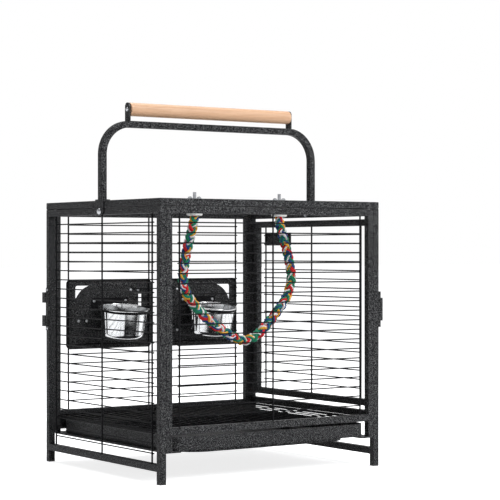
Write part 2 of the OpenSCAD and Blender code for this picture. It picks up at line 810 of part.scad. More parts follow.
module door_grille() {
    reach = door_w / 2 - tube - side_upright_gap;
    z0 = door_z0 + tube;
    z1 = door_z1 - tube;
    color(coat) translate([half_w - wire_inset, y_mid + door_mid, 0]) rotate([0, 0, 90])
        grille([-reach, 0, reach], z0, z1, wire_levels(z0, z1, door_wire_first, door_wire_pitch));
}

// Hinge leaf with its knuckles on a z axis through the origin. The leaf lies on x = 0 to leaf_t less the
// knuckle radius and runs towards +y. own lists the knuckles that belong to this leaf.
module hinge_leaf(len, knuckles, own, knuckle_r, bore_r, leaf_t, leaf_w) {
    pitch = len / knuckles;
    difference() {
        union() {
            translate([-knuckle_r, knuckle_r + face_gap, 0])
                cube([leaf_t, leaf_w - knuckle_r - face_gap, len]);
            for (k = own) {
                z = k * pitch + (k == 0 ? 0 : face_gap / 2);
                h = pitch - (k == 0 || k == knuckles - 1 ? face_gap / 2 : face_gap);
                translate([0, 0, z]) cylinder(r = knuckle_r, h = h, $fn = 48);
                translate([-knuckle_r, 0, z]) cube([leaf_t, knuckle_r + face_gap + 0.5, h]);
            }
        }
        translate([0, 0, -1]) cylinder(r = bore_r, h = len + 2, $fn = 48);
    }
}

// Fixed halves of the two door hinges, on the rear post
module door_hinge_posts() {
    color(coat) for (z = door_hinge_z)
        translate([door_axis_x, door_axis_y, z])
            hinge_leaf(door_hinge_len, 3, [0, 2], door_knuckle_r, door_pin_r, door_leaf_t, door_leaf_w);
}

// Moving halves of the two door hinges, on the door's rear stile
module door_hinge_leaves() {
    color(coat) for (z = door_hinge_z)
        translate([door_axis_x, door_axis_y, z]) mirror([0, 1, 0])
            hinge_leaf(door_hinge_len, 3, [1], door_knuckle_r, door_pin_r + turn_gap, door_leaf_t,
                       door_leaf_w);
}

module door_hinge_pins() {
    color(zinc) for (z = door_hinge_z)
        translate([door_axis_x, door_axis_y, z]) {
            cylinder(r = door_pin_r, h = door_hinge_len, $fn = 48);
            translate([0, 0, door_hinge_len]) dome(door_knuckle_r - face_gap, pin_head_h);
        }
}

// Cast latch block on a post: a base with a raised housing, and a pocket for the bar
module latch_block(y0, y1, pocket_y0, pocket_y1) {
    difference() {
        union() {
            translate([half_w, y0, latch_z - latch_base_h / 2])
                cube([latch_base_t, y1 - y0, latch_base_h]);
            translate([half_w, y0, latch_z - latch_house_h / 2])
                cube([side_reach, y1 - y0, latch_house_h]);
        }
        translate([latch_bar_x - face_gap, pocket_y0, latch_z - latch_bar_h / 2 - face_gap])
            cube([latch_bar_t + 2 * face_gap, pocket_y1 - pocket_y0, latch_bar_h + 2 * face_gap]);
        for (end = [-1, 1])
            translate([half_w - 1, (y0 + y1) / 2, latch_z + end * (latch_base_h + latch_house_h) / 4])
                rotate([0, 90, 0]) cylinder(r = screw_r, h = latch_base_t + 2, $fn = 32);
    }
}

module latch_keeper() {
    y1 = y_front + tube;
    color(coat) latch_block(y_front, y1, y_front + latch_end_wall, y1 + 1);
}

module latch_guide() {
    y0 = y_mid + door_y0;
    color(coat) latch_block(y0, y0 + tube, y0 - 1, y0 + tube + 1);
}

// The bar slides in the guide, and its thumb tab stands out behind the guide
module latch_bar() {
    y0 = y_mid + door_y0;
    y1 = y0 + tube + latch_travel + latch_tab_reach;
    color(coat) {
        translate([latch_bar_x, y0, latch_z - latch_bar_h / 2]) cube([latch_bar_t, y1 - y0, latch_bar_h]);
        translate([latch_bar_x, y1 - latch_tab_t, latch_z - latch_bar_h / 2])
            cube([half_w + side_reach - latch_bar_x, latch_tab_t, latch_bar_h]);
    }
}

// Two screws through a latch block's base, above and below its housing
module latch_screws(y) {
    color(zinc) for (end = [-1, 1])
        translate([half_w, y, latch_z + end * (latch_base_h + latch_house_h) / 4]) rotate([0, 90, 0]) {
            cylinder(r = screw_r, h = latch_base_t, $fn = 32);
            translate([0, 0, latch_base_t]) dome(latch_screw_r, latch_screw_h);
        }
}

module keeper_screws() {
    latch_screws(y_front + tube / 2);
}

module guide_screws() {
    latch_screws(y_mid + door_y0 + tube / 2);
}

module blank_plate() {
    y1 = y_mid + door_y1 - tube - plate_rear_gap;
    z1 = door_z1 - tube - plate_top_gap;
    color(coat) translate([half_w - wire_inset + upright_d / 2, y1 - plate_len, z1 - plate_h])
        cube([plate_t, plate_len, plate_h]);
}

// Feeders, drawn as the right-hand one

// Heights and places of the rivets
hinge_rivet_z = [for (z = hinge_z) z + feeder_hinge_len / 2];
strip_z0 = arm_end_z + strip_rise - ring_strip_h / 2;
strip_rivet_z = strip_z0 + ring_strip_h - rivet_edge;
strip_rivets = [cup_x - ring_strip_len / 2 + rivet_edge, cup_x + ring_strip_len / 2 - rivet_edge];
guide_rivets = [guide_x0 + rivet_edge, guide_x1 - rivet_edge];
guide_rivet_z = guide_z0 + rivet_edge;
keeper_x0 = door_x1 + 2 * feeder_door_gap;

module rivet_hole(x, z) {
    wire_y(sheet_y0 - rivet_edge, sheet_y1 + rivet_edge, x, z, 2 * rivet_r);
}

module fixed_rivet_holes() {
    for (z = hinge_rivet_z) rivet_hole(window_x0 - hinge_rivet_x, z);
}

module door_rivet_holes() {
    for (z = hinge_rivet_z) rivet_hole(window_x0 + hinge_rivet_x, z);
    for (x = strip_rivets) rivet_hole(x, strip_rivet_z);
    for (x = guide_rivets) rivet_hole(x, guide_rivet_z);
}

// Outline of the window in the sheet
module window_outline() {
    round_plate(window_x0, window_z0 - stop_lap, window_x1 + stop_lap, window_z1 + stop_lap, small_corner);
}

// Outline of the door stop, which is welded behind the window's edge
module stop_outline() {
    reach = stop_lap + stop_land;
    round_plate(window_x0 - stop_land, window_z0 - reach, window_x1 + reach, window_z1 + reach, small_corner);
}

// Sheet with a window and its door stop, a slot, the fixed hinge leaves and the bolt's keeper
module feeder_surround() {
    slot_x1 = window_x0 - slot_gap;
    slot_z0 = hinge_z[0] + feeder_hinge_len + rivet_edge;
    slot_z1 = hinge_z[1] - face_gap;
    difference() {
        union() {
            upright_sheet(sheet_y0, sheet_y1) difference() {
                round_plate(feeder_x0, feeder_lift, feeder_x1, feeder_z1, feeder_corner);
                window_outline();
                translate([slot_x1 - slot_w, slot_z0]) square([slot_w, slot_z1 - slot_z0]);
            }
            upright_sheet(sheet_y0 - face_gap, sheet_y0) difference() {
                stop_outline();
                window_outline();
            }
            upright_sheet(sheet_y0 - sheet, sheet_y0 - face_gap) difference() {
                stop_outline();
                round_plate(window_x0 + stop_lap, window_z0, window_x1, window_z1, small_corner);
            }
            for (z = hinge_z)
                translate([window_x0, feeder_axis_y, z]) rotate([0, 0, 90])
                    hinge_leaf(feeder_hinge_len, 3, [0, 2], feeder_knuckle_r, feeder_pin_r, feeder_leaf_t,
                               feeder_leaf_w);
            upright_sheet(sheet_y1, sheet_y1 + guide_t)
                round_plate(keeper_x0, guide_z0, keeper_x0 + keeper_len, guide_z0 + guide_h, plate_corner);
            wire_x(keeper_x0, keeper_x0 + keeper_len, bolt_y, bolt_z, 2 * bolt_ring_r);
        }
        wire_x(keeper_x0 - 1, keeper_x0 + keeper_len + 1, bolt_y, bolt_z, 2 * (bolt_r + face_gap));
        fixed_rivet_holes();
    }
}

// Door outline with the upper outer corner cut away round
module feeder_door_outline() {
    r = small_corner;
    high = plate_z1 - finger_r;
    wide = door_x1 - finger_r;
    translate([door_x0, plate_z0 + r]) square([door_x1 - door_x0, high - plate_z0 - r]);
    translate([door_x0 + r, plate_z0]) square([door_x1 - door_x0 - 2 * r, r]);
    translate([door_x0, high]) square([wide - door_x0, finger_r - r]);
    translate([door_x0 + r, plate_z1 - r]) square([wide - door_x0 - r, r]);
    for (p = [[door_x0 + r, plate_z0 + r], [door_x1 - r, plate_z0 + r], [door_x0 + r, plate_z1 - r]])
        translate(p) circle(r = r, $fn = 48);
    intersection() {
        translate([wide, high]) circle(r = finger_r, $fn = 96);
        translate([wide, high]) square([finger_r, finger_r]);
    }
}

module feeder_door() {
    difference() {
        upright_sheet(sheet_y0, sheet_y1) feeder_door_outline();
        door_rivet_holes();
    }
}

module feeder_hinge_leaf() {
    difference() {
        for (z = hinge_z)
            translate([window_x0, feeder_axis_y, z]) mirror([1, 0, 0]) rotate([0, 0, 90])
                hinge_leaf(feeder_hinge_len, 3, [1], feeder_knuckle_r, feeder_pin_r + turn_gap, feeder_leaf_t,
                           feeder_leaf_w);
        door_rivet_holes();
    }
}

module feeder_hinge_pin() {
    for (z = hinge_z)
        translate([window_x0, feeder_axis_y, z]) {
            cylinder(r = feeder_pin_r, h = feeder_hinge_len, $fn = 48);
            translate([0, 0, feeder_hinge_len]) dome(feeder_knuckle_r - face_gap, pin_head_h);
        }
}

// Guide plate with two rings that the bolt slides in
module bolt_guide() {
    difference() {
        union() {
            upright_sheet(sheet_y1, sheet_y1 + guide_t)
                round_plate(guide_x0, guide_z0, guide_x1, guide_z0 + guide_h, plate_corner);
            for (x = [guide_x0, guide_x1 - bolt_ring_len])
                wire_x(x, x + bolt_ring_len, bolt_y, bolt_z, 2 * bolt_ring_r);
        }
        wire_x(guide_x0 - 1, guide_x1 + 1, bolt_y, bolt_z, 2 * (bolt_r + turn_gap));
        door_rivet_holes();
    }
}

// Sliding bolt with a thumb knob between the guide's rings
module feeder_bolt() {
    stem_x = guide_x0 + bolt_ring_len + stem_gap;
    knob_y = y_back + back_reach - knob_t;
    wire_x(guide_x0 - bolt_r, guide_x1, bolt_y, bolt_z, 2 * bolt_r);
    wire_y(bolt_y, knob_y + knob_t / 2, stem_x, bolt_z, knob_stem_d);
    wire_y(knob_y, knob_y + knob_t, stem_x + knob_offset, bolt_z, 2 * knob_r);
}

// Rivet through the sheet, with a dome at each end, from y0 to y1
module rivet(x, z, y0, y1) {
    wire_y(y0, y1, x, z, 2 * rivet_r);
    translate([x, y1, z]) rotate([-90, 0, 0]) dome(rivet_head_r, rivet_head_h);
    translate([x, y0, z]) rotate([90, 0, 0]) dome(rivet_head_r, rivet_head_h);
}

// Rivets of the moving door
module feeder_rivets() {
    for (z = hinge_rivet_z)
        rivet(window_x0 + hinge_rivet_x, z, sheet_y0, sheet_y1 + feeder_leaf_t);
    for (x = strip_rivets)
        rivet(x, strip_rivet_z, sheet_y0 - ring_strip_t, sheet_y1);
    for (x = guide_rivets)
        rivet(x, guide_rivet_z, sheet_y0, sheet_y1 + guide_t);
}

// Rivets of the fixed hinge leaves
module surround_rivets() {
    color(zinc) for (side = [-1, 1], z = hinge_rivet_z)
        on_side(side) rivet(window_x0 - hinge_rivet_x, z, sheet_y0, sheet_y1 + feeder_leaf_t);
}

// Leaning axes of a cup, with the middle of its rim at the origin
module cup_place() {
    translate([cup_x, cup_y, cup_rim_z]) rotate([cup_tilt, 0, 0]) children();
}

// Ring of wire with two arms and the strip that is riveted to the door
module cup_ring() {
    arm_x = ring_arm_spacing / 2;
    arm_y0 = sqrt(ring_r * ring_r - arm_x * arm_x);
    difference() {
        union() {
            cup_place() {
                translate([0, 0, -ring_drop])
                    rotate_extrude($fn = 96) translate([ring_r, 0]) circle(d = ring_wire_d, $fn = 24);
                for (side = [-1, 1]) wire_y(arm_y0, arm_y1, side * arm_x, -ring_drop, ring_arm_d);
            }
            upright_sheet(sheet_y0 - ring_strip_t, sheet_y0)
                round_plate(cup_x - ring_strip_len / 2, strip_z0, cup_x + ring_strip_len / 2,
                            strip_z0 + ring_strip_h, plate_corner);
        }
        door_rivet_holes();
    }
}

// Steel cup with a rolled rim, slightly tapered wall and rounded base
module cup() {
    r_top = cup_body_r;
    r_low = cup_body_r - cup_draft;
    foot = cup_base_r;
    side_h = cup_h - cup_roll_r;
    roll_x = cup_rim_d / 2 - cup_roll_r;
    cup_place() translate([0, 0, -cup_h]) rotate_extrude($fn = 128) {
        square([r_low - foot, cup_wall]);
        difference() {
            translate([r_low - foot, foot]) circle(r = foot, $fn = 64);
            translate([r_low - foot, foot]) circle(r = foot - cup_wall, $fn = 64);
            translate([r_low - 2 * foot - 1, -1]) square([foot + 1, 2 * foot + 2]);
            translate([r_low - foot - 1, foot]) square([foot + 2, foot + 1]);
        }
        polygon([
            [r_low - cup_wall, foot], [r_low, foot], [r_top, side_h], [r_top - cup_wall, side_h]
        ]);
        intersection() {
            translate([roll_x, side_h]) circle(r = cup_roll_r, $fn = 48);
            translate([r_top - 2 * cup_wall, side_h - cup_roll_r]) square([4 * cup_roll_r, 2 * cup_roll_r]);
        }
    }
}

// Tray and grate

// Plan outline with round corners, from y0 to y1 and the same each way in x
module plan_outline(half, y0, y1, r) {
    translate([-half + r, y0]) square([2 * half - 2 * r, y1 - y0]);
    translate([-half, y0 + r]) square([2 * half, y1 - y0 - 2 * r]);
    for (x = [-half + r, half - r], y = [y0 + r, y1 - r])
        translate([x, y]) circle(r = r, $fn = 96);
}

// Tray with an upright skirt, a flat ledge and a shallow sunk pan
module tray() {
    pan_half = tray_half - tray_ledge;
    color(coat) difference() {
        union() {
            translate([0, 0, tray_z0]) linear_extrude(tray_skirt_h)
                plan_outline(tray_half, tray_y0, tray_y1, tray_corner);
            translate([0, 0, tray_z0 - tray_pan_drop]) linear_extrude(tray_pan_drop + 1)
                plan_outline(pan_half, tray_y0 + tray_front_ledge, tray_y1 - tray_ledge, pan_corner);
        }
        translate([0, 0, tray_z0 + tray_wall]) linear_extrude(tray_skirt_h)
            plan_outline(tray_half - tray_wall, tray_y0 + tray_wall, tray_y1 - tray_wall,
                         tray_corner - tray_wall);
        translate([0, 0, tray_z0 - tray_pan_drop + tray_wall]) linear_extrude(tray_pan_drop + 2)
            plan_outline(pan_half - tray_wall, tray_y0 + tray_front_ledge + tray_wall,
                         tray_y1 - tray_ledge - tray_wall, pan_corner - tray_wall);
    }
}

// Runners under the front and back posts that carry the tray's ledge
module tray_runners() {
    color(coat) for (side = [-1, 1])
        on_side(side) translate([half_w - tube - runner_w, y_front, runner_z0])
            cube([runner_w, body_depth, runner_t]);
}

// Close cross wires lie on the border and on two long ribs
module floor_grate() {
    count = floor((grate_y1 - grate_y0 - 2 * grate_border_d) / grate_pitch);
    start = (grate_y0 + grate_y1 - count * grate_pitch) / 2;
    rib_z = grate_z - (grate_border_d - level_d) / 2;
    top_z = rib_z + level_d - weld_sink;
    color(coat) {
        for (side = [-1, 1]) wire_y(grate_y0, grate_y1, side * grate_half, grate_z, grate_border_d);
        for (y = [grate_y0, grate_y1]) wire_x(-grate_half, grate_half, y, grate_z, grate_border_d);
        for (x = [-grate_half, grate_half], y = [grate_y0, grate_y1])
            translate([x, y, grate_z]) sphere(d = grate_border_d, $fn = 24);
        for (x = [-grate_rib_x, grate_rib_x]) wire_y(grate_y0, grate_y1, x, rib_z, level_d);
        for (k = [1 : count - 1]) wire_x(-grate_half, grate_half, start + k * grate_pitch, top_z, level_d);
    }
}

// Handle and grip

// Tube handle: two legs, two bends and a level bar
module handle_path(leg_z0, hollow) {
    bend_z = handle_bar_z - handle_bend_r;
    bar_half = handle_leg_x - handle_bend_r;
    for (side = [-1, 1]) on_side(side) {
        translate([handle_leg_x, y_mid, leg_z0]) linear_extrude(bend_z - leg_z0) handle_outline(hollow);
        translate([bar_half, y_mid, bend_z]) rotate([90, 0, 0])
            rotate_extrude(angle = 90, $fn = 96) translate([handle_bend_r, 0]) handle_outline(hollow);
    }
    translate([-bar_half, y_mid, handle_bar_z]) rotate([90, 0, 90])
        linear_extrude(2 * bar_half) handle_outline(hollow);
}

module handle_outline(hollow) {
    if (hollow)
        square([bore, bore], center = true);
    else
        tube_outline();
}

module handle_tube() {
    color(coat) difference() {
        handle_path(body_height + foot_t, false);
        handle_path(body_height + foot_t - 1, true);
    }
}

// Angle brackets that carry the handle's legs on the roof and bolt to the side rails
module handle_brackets() {
    color(coat) for (side = [-1, 1]) on_side(side) difference() {
        union() {
            translate([half_w - tube, y_mid - foot_w / 2, body_height])
                cube([tube + foot_t, foot_w, foot_t]);
            translate([half_w, y_mid, 0]) rotate([90, 0, 90]) linear_extrude(foot_t)
                round_foot(foot_w, body_height - foot_drop, body_height + foot_t);
        }
        wire_x(half_w - 1, half_w + foot_t + 1, y_mid, top_rail_z, 2 * handle_bolt_r);
    }
}

// Upright plate outline with its two lower corners rounded
module round_foot(w, z0, z1) {
    translate([-w / 2, z0 + foot_corner]) square([w, z1 - z0 - foot_corner]);
    translate([-w / 2 + foot_corner, z0]) square([w - 2 * foot_corner, foot_corner]);
    for (x = [-1, 1])
        translate([x * (w / 2 - foot_corner), z0 + foot_corner]) circle(r = foot_corner, $fn = 48);
}

module handle_bolts() {
    nut_x = half_w - tube - handle_nut_h;
    color(zinc) for (side = [-1, 1]) on_side(side) {
        translate([half_w + foot_t, y_mid, top_rail_z]) rotate([0, 90, 0]) dome(handle_head_r, handle_head_h);
        wire_x(nut_x - 1, half_w + foot_t, y_mid, top_rail_z, 2 * handle_bolt_r);
        translate([nut_x, y_mid, top_rail_z]) rotate([0, 90, 0])
            cylinder(r = handle_nut_r, h = handle_nut_h, $fn = 6);
    }
}

module grip_ears() {
    color(coat) for (side = [-1, 1])
        translate([side * ear_spacing / 2 - ear_t / 2, y_mid, 0]) difference() {
            rotate([90, 0, 90]) linear_extrude(ear_t) {
                translate([-ear_w / 2, handle_top]) square([ear_w, grip_rise + ear_above - ear_w / 2]);
                translate([0, grip_z + ear_above - ear_w / 2]) circle(d = ear_w, $fn = 64);
            }
            wire_x(-1, ear_t + 1, 0, grip_z, 2 * grip_screw_r);
        }
}

// Round wooden grip with softly rounded ends
module wooden_grip() {
    r = grip_d / 2;
    e = grip_edge_r;
    color("#d8a878") translate([-grip_len / 2, y_mid, grip_z]) rotate([0, 90, 0]) difference() {
        rotate_extrude($fn = 96) {
            translate([0, 0]) square([r - e, grip_len]);
            translate([0, e]) square([r, grip_len - 2 * e]);
            for (z = [e, grip_len - e])
                translate([r - e, z]) circle(r = e, $fn = 32);
        }
        for (z = [-1, grip_len - grip_screw_len + ear_t])
            translate([0, 0, z]) cylinder(r = grip_screw_r, h = grip_screw_len - ear_t + 1, $fn = 32);
    }
}

module grip_screws() {
    outer = grip_len / 2 + ear_t;
    color(zinc) for (side = [-1, 1]) on_side(side) {
        translate([outer, y_mid, grip_z]) rotate([0, 90, 0]) dome(grip_head_r, grip_head_h);
        wire_x(outer - grip_screw_len, outer, y_mid, grip_z, 2 * grip_screw_r);
    }
}

// Rope perch

// Tube through the route's points, with a ring of corners at each
module rope_tube(points, r, sides) {
    n = len(points);
    rings = [
        for (i = [0 : n - 1])
            let (
                a = points[max(i - 1, 0)],
                b = points[min(i + 1, n - 1)],
                d = b - a,
                t = d / norm(d)
            )
            for (j = [0 : sides - 1])
                let (q = 360 * (j + 0.5) / sides)
                [points[i][0] - t[1] * r * cos(q), r * sin(q), points[i][1] + t[0] * r * cos(q)]
    ];
    walls = [
        for (i = [0 : n - 2], j = [0 : sides - 1])
            let (k = (j + 1) % sides)
            each [
                [i * sides + j, (i + 1) * sides + j, (i + 1) * sides + k],
                [i * sides + j, (i + 1) * sides + k, i * sides + k]
            ]
    ];
    start_cap = [for (j = [0 : sides - 1]) j];
    end_cap = [for (j = [sides - 1 : -1 : 0]) (n - 1) * sides + j];
    polyhedron(points = rings, faces = concat(walls, [start_cap, end_cap]));
}

module rope_perch() {
    color("#3f8a5c") translate([0, perch_y, 0]) rope_tube(rope_route, rope_d / 2, rope_sides);
}

module perch_caps() {
    e = cap_edge_r;
    r = cap_d / 2;
    color("#f0f0ec") for (side = [-1, 1])
        translate([side * perch_x, perch_y, cap_bottom]) difference() {
            rotate_extrude($fn = 96) {
                square([r - e, cap_h]);
                translate([0, e]) square([r, cap_h - e]);
                translate([r - e, e]) circle(r = e, $fn = 48);
            }
            translate([0, 0, -1]) cylinder(r = rope_d / 2 + rope_gap, h = cap_socket + 1, $fn = 64);
            cylinder(r = perch_bolt_r, h = cap_h + 1, $fn = 48);
        }
}

module perch_bolts() {
    tip = body_height + perch_bolt_tip;
    color(zinc) for (side = [-1, 1])
        translate([side * perch_x, perch_y, rope_top]) {
            cylinder(r = rope_d / 2 - 1, h = perch_head_h, $fn = 48);
            cylinder(r = perch_bolt_r, h = tip - rope_top, $fn = 48);
        }
}

module perch_washers() {
    color(zinc) for (side = [-1, 1])
        translate([side * perch_x, perch_y, washer_z]) difference() {
            cylinder(d = washer_d, h = washer_t, $fn = 64);
            translate([0, 0, -1]) cylinder(r = perch_bolt_r, h = washer_t + 2, $fn = 48);
        }
}

// Outline of one upswept wing with a round tip
module wing_outline() {
    tip = [wing_span / 2 - wing_tip_r, wing_h - wing_tip_r];
    root = wing_hub_r - wing_t / 2;
    translate(tip) circle(r = wing_tip_r, $fn = 48);
    polygon([
        [root, 0], [wing_hub_r, 0], tip + wing_tip_r * [cos(-30), sin(-30)],
        tip + wing_tip_r * [cos(135), sin(135)], [root, wing_hub_h]
    ]);
}

module wing_nut(side) {
    color(zinc) translate([side * perch_x, perch_y, washer_z + washer_t]) difference() {
        union() {
            cylinder(r = wing_hub_r, h = wing_hub_h, $fn = 48);
            for (way = [0, 1])
                mirror([way, 0, 0]) translate([0, wing_t / 2, 0]) rotate([90, 0, 0])
                    linear_extrude(wing_t) wing_outline();
        }
        translate([0, 0, -1]) cylinder(r = perch_bolt_r + turn_gap, h = wing_hub_h + wing_h, $fn = 48);
    }
}

// Rear bracket: a C-shaped strip on a thin plate, riveted to the left rear post

module rear_bracket() {
    y0 = y_back - (tube + hook_w) / 2;
    z0 = hook_z - hook_h / 2;
    z1 = hook_z + hook_h / 2;
    plate_y0 = y_back - tube + 1;
    arm = side_reach - hook_plate_t;
    color(coat) difference() {
        union() {
            translate([-half_w - hook_plate_t, plate_y0, z0 - hook_ear])
                cube([hook_plate_t, tube - 2, hook_h + 2 * hook_ear]);
            for (z = [z0, z1 - hook_t])
                translate([-half_w - side_reach, y0, z]) cube([arm + 0.1, hook_w, hook_t]);
            translate([-half_w - side_reach, y0, z0]) cube([hook_t, hook_w, hook_lower_tip + hook_t]);
            translate([-half_w - side_reach, y0, z1 - hook_upper_tip - hook_t])
                cube([hook_t, hook_w, hook_upper_tip + hook_t]);
        }
        bracket_rivet_holes();
    }
}

module bracket_rivet_holes() {
    for (way = [-1, 1])
        wire_x(-half_w - hook_plate_t - 1, -half_w + 1, y_back - tube / 2,
               hook_z + way * (hook_h + hook_ear) / 2, 2 * rivet_r);
}

module bracket_rivets() {
    color(zinc) for (way = [-1, 1])
        translate([-half_w - hook_plate_t, y_back - tube / 2, hook_z + way * (hook_h + hook_ear) / 2])
            rotate([0, -90, 0]) {
                dome(rivet_head_r, rivet_head_h);
                translate([0, 0, -hook_plate_t]) cylinder(r = rivet_r, h = hook_plate_t, $fn = 32);
            }
}

left_side_frame();
left_side_grille();
right_side_frame();
door_frame();
door_grille();
door_hinge_posts();
door_hinge_leaves();
door_hinge_pins();
latch_keeper();
latch_guide();
latch_bar();
keeper_screws();
guide_screws();
blank_plate();
front_frame();
front_grille();
back_frame();
back_grille();
tray_stop();
roof_frame();
roof_grille();
roof_pads();
leg_plugs();
frame_screws();
handle_tube();
handle_brackets();
handle_bolts();
grip_ears();
wooden_grip();
grip_screws();
color(coat) on_side(-1) feeder_surround();  // left_feeder_surround
color(coat) on_side(1) feeder_surround();  // right_feeder_surround
color(coat) on_side(-1) feeder_door();  // left_feeder_door
color(coat) on_side(1) feeder_door();  // right_feeder_door
color(zinc) on_side(-1) feeder_hinge_pin();  // left_feeder_hinge_pin
color(zinc) on_side(1) feeder_hinge_pin();  // right_feeder_hinge_pin
color(coat) on_side(-1) feeder_hinge_leaf();  // left_feeder_hinge_leaf
color(coat) on_side(1) feeder_hinge_leaf();  // right_feeder_hinge_leaf
color(zinc) on_side(-1) feeder_bolt();  // left_feeder_bolt
color(zinc) on_side(1) feeder_bolt();  // right_feeder_bolt
color(coat) on_side(-1) bolt_guide();  // left_bolt_guide
color(coat) on_side(1) bolt_guide();  // right_bolt_guide
color(zinc) on_side(-1) feeder_rivets();  // left_feeder_rivets
color(zinc) on_side(1) feeder_rivets();  // right_feeder_rivets
surround_rivets();
color(coat) on_side(-1) cup_ring();  // left_cup_ring
color(coat) on_side(1) cup_ring();  // right_cup_ring
color(polished) on_side(-1) cup();  // left_cup
color(polished) on_side(1) cup();  // right_cup
tray();
tray_runners();
floor_grate();
rope_perch();
perch_caps();
perch_bolts();
perch_washers();
wing_nut(-1);  // left_wing_nut
wing_nut(1);  // right_wing_nut
rear_bracket();
bracket_rivets();
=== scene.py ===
"""Bird travel carrier: the frame's finishes, the rope's yarns, the floor grate's wires and the studio."""
import json
import math

import bmesh
import bpy
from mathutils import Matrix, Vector


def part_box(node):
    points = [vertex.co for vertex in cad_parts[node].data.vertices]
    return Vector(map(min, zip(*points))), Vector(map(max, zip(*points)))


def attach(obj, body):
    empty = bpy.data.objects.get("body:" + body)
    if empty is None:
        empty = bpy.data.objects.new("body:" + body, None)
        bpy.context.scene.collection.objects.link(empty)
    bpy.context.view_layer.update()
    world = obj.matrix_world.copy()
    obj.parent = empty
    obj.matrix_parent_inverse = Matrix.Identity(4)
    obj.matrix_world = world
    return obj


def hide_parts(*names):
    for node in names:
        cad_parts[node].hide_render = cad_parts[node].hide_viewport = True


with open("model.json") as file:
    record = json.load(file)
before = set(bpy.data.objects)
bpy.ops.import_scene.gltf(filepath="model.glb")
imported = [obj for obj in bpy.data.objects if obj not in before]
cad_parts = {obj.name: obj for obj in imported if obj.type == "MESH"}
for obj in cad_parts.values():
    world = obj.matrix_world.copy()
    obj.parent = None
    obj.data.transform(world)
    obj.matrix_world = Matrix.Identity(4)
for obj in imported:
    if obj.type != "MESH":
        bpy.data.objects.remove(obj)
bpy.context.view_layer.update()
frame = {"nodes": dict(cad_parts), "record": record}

MM = 0.001

# The photograph's camera, found by fitting the frame's corners: place in millimetres from the middle of the
# footprint, heading in degrees, and focal length in pixels of the 500 pixel frame.
CAMERA_AT = (-1717.1, -2620.4, 388.7)
CAMERA_HEADING = -34.585
FOCAL_PIXELS = 1717.2
FRAME_PIXELS = 500
SENSOR = 36.0
CLIP_NEAR = 0.05
CLIP_FAR = 100.0

# Lamps: place, point aimed at and size in metres, and power in watts
LAMPS = {
    "key": ((0.9, -2.4, 2.2), (0.0, 0.0, 0.3), (1.6, 1.6), 72.0),
    "fill": ((-2.6, -0.8, 1.0), (0.0, 0.0, 0.25), (1.2, 1.6), 0.8),
    "top": ((0.2, 0.6, 2.6), (0.0, 0.0, 0.4), (2.2, 1.4), 40.0),
}

# World. Its light on the object is cool, and weaker from the left, as in the photograph. What is seen or
# mirrored of it is white at eye level and grey overhead. Each pair of ranges maps a direction's part along
# x or z to a strength.
LIT_COLOUR = (0.93, 0.95, 1.0, 1.0)
LIT_ACROSS = ((-0.7, 0.7), (0.10, 0.62))
SEEN_UPWARD = ((0.30, 0.62), (1.0, 0.10))
WHITE = (1.0, 1.0, 1.0, 1.0)

FLOOR_REACH = 30.0
FLOOR_COLOUR = (0.9, 0.9, 0.9, 1.0)
FLOOR_ROUGH = 0.9
FLOOR_GLOW = 0.8

# Rope perch, as in the frame: shares of half its span, and depths below its ends in millimetres
ROPE_ROUTE = [
    [-1, 0], [-1, 9.5], [-1.077, 37.5], [-1.165, 64.5], [-1.231, 91.5], [-1.264, 117.5], [-1.198, 140.5],
    [-1.011, 162.5], [-0.758, 184.5], [-0.462, 203.5], [-0.143, 219.5], [0.165, 228.5], [0.473, 218.5],
    [0.758, 196.5], [1.011, 171.5], [1.209, 147.5], [1.297, 120.5], [1.275, 99.5], [1.209, 73.5],
    [1.11, 46.5], [1.022, 21.5], [1, 9.5], [1, 0],
]
ROPE_HALF_SPAN = 91.0
ROPE_STEP = 1.4 * MM

# Braid. A strand goes once round the rope in BRAID_LAY, on a ring that swells by BRAID_WEAVE where it passes
# over another strand. BRAID_DWELL slows its turn there, so that what shows of it lies along the rope.
BRAID_LAY = 34.0 * MM
BRAID_RING = 4.8 * MM
BRAID_WEAVE = 1.9 * MM
BRAID_DWELL = 0.28
# The crossings turn from one side to the other along the rope by this angle each way
BRAID_SWING = math.radians(34.0)
# At each end the braid has SOCKET_SHARE of its size for SOCKET_HELD of the socket's depth, and then it grows
# to its full size over one whole depth. The depth is in millimetres.
ROPE_SOCKET = 11.0
SOCKET_SHARE = 0.72
SOCKET_HELD = 0.6

# The yarns of a strand lie side by side on a flat oval, which turns once in YARN_TWIST
YARN_RADIUS = 2.2 * MM
YARN_SIDES = 8
YARN_HALF_WIDTH = 3.2 * MM
YARN_HALF_DEPTH = 0.7 * MM
YARN_TWIST = 140.0 * MM
YARN_COLOURS = {
    "green": (0.003, 0.245, 0.125), "blue": (0.006, 0.060, 0.240), "red": (0.74, 0.010, 0.016),
    "yellow": (0.95, 0.47, 0.035), "white": (0.93, 0.90, 0.91),
}
# Each strand: the way that it winds, its start angle and the colours of its yarns
STRANDS = [
    (1, 0.0, ("green", "blue", "green", "white")),
    (1, math.pi, ("red", "white", "yellow", "green")),
    (-1, math.pi / 2, ("blue", "green", "green", "yellow")),
    (-1, 1.5 * math.pi, ("red", "red", "white", "blue")),
]

# Perch caps: white plastic, turned near black from the first height below above their foot, over the width of
# the second: painted shade that stands in for the shade on their upper part
CAP_SHADE_FROM = 8.0 * MM
CAP_EDGE = 0.2 * MM
CAP_WHITE = (0.82, 0.82, 0.80)
# Near black of the perch caps' painted shade
PAINTED_SHADE_COLOUR = (0.020, 0.020, 0.021, 1.0)

